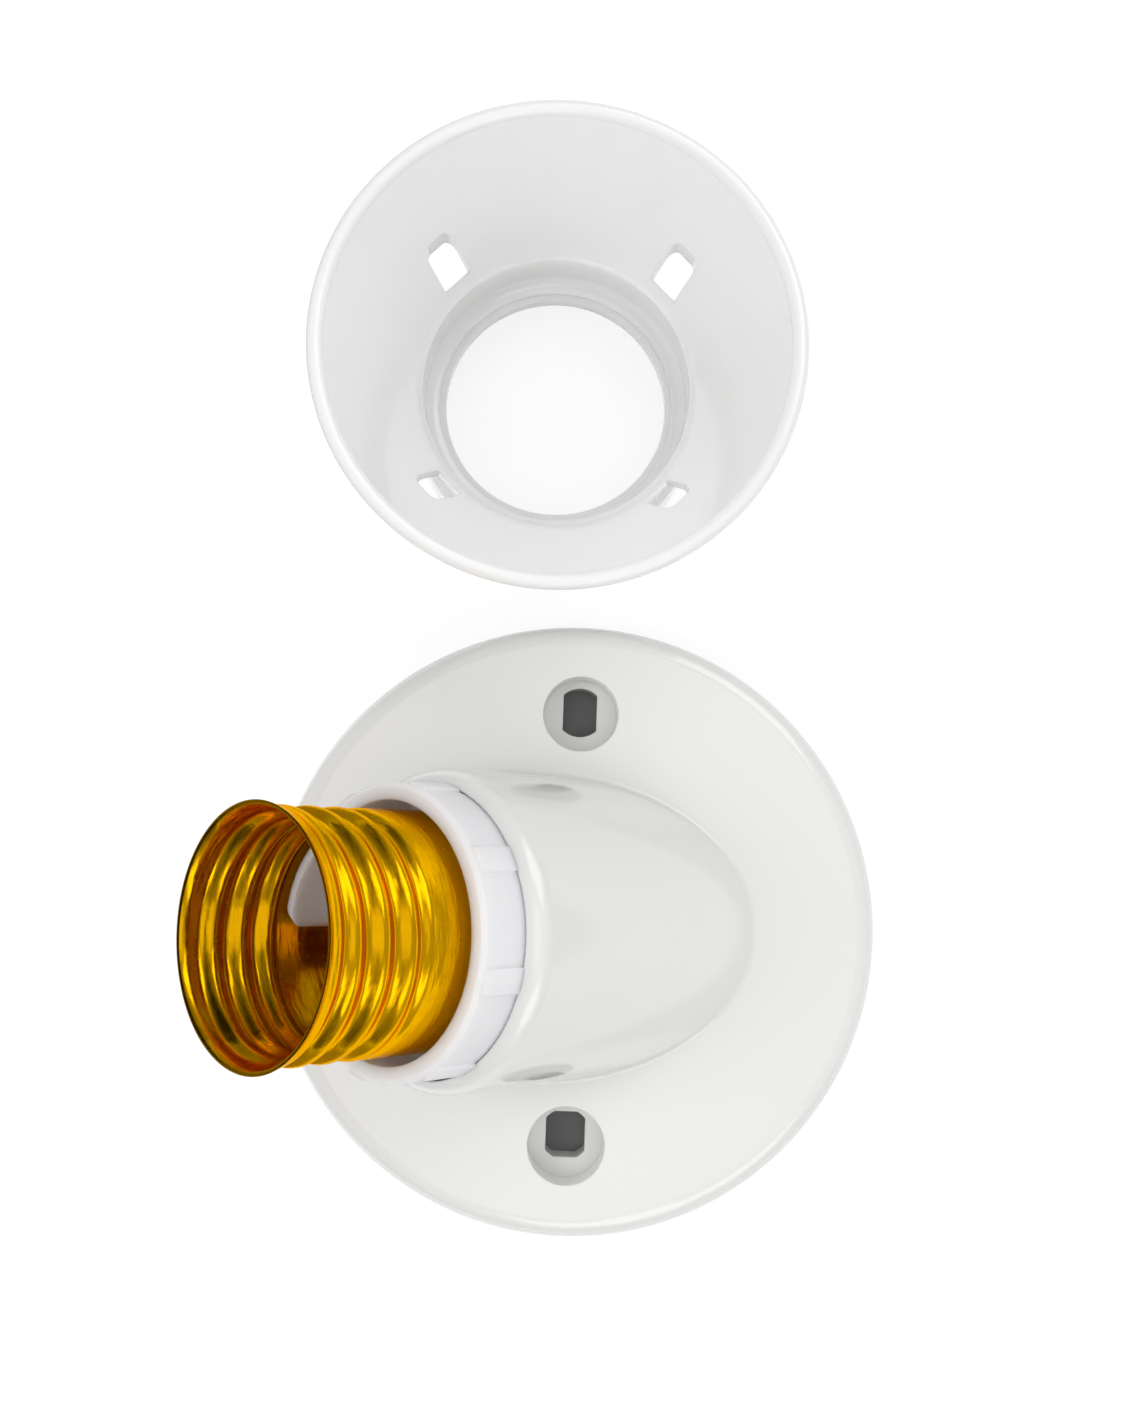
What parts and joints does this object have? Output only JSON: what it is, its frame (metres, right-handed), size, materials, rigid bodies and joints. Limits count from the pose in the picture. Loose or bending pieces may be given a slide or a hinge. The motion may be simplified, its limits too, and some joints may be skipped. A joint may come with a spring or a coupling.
{
  "type": "lamp holder",
  "caption": "Slanted screw lamp holder on a round wall plate, with a ribbed insert, a gilt threaded shell, contacts and a slide-on cover cup set beside it.",
  "frame": {"origin": "centre of the plate's back face, on the wall", "axes": "+Z out of the wall; the barrel leans 45 degrees towards -X; +Y runs through the upper screw hole to the cover cup"},
  "size_m": [0.0832, 0.1345, 0.0488],
  "materials": {
    "housing_plastic": "gloss",
    "cup_plastic": "gloss",
    "insert_plastic": "satin",
    "shell_metal": "polished",
    "contact_brass": "satin",
    "brass_fittings": "satin",
    "zinc_screws": "satin"
  },
  "bodies": {
    "root": {"base_housing": "housing_plastic", "cover_cup": "cup_plastic", "socket_insert": "insert_plastic", "screw_shell": "shell_metal", "centre_contact": "contact_brass", "centre_contact_rivet": "brass_fittings", "shell_rivet_upper": "brass_fittings", "shell_rivet_lower": "brass_fittings", "live_terminal": "brass_fittings", "neutral_terminal": "brass_fittings", "live_terminal_screw": "zinc_screws", "neutral_terminal_screw": "zinc_screws", "insert_screw_upper": "zinc_screws", "insert_screw_lower": "zinc_screws"}
  },
  "joints": []
}
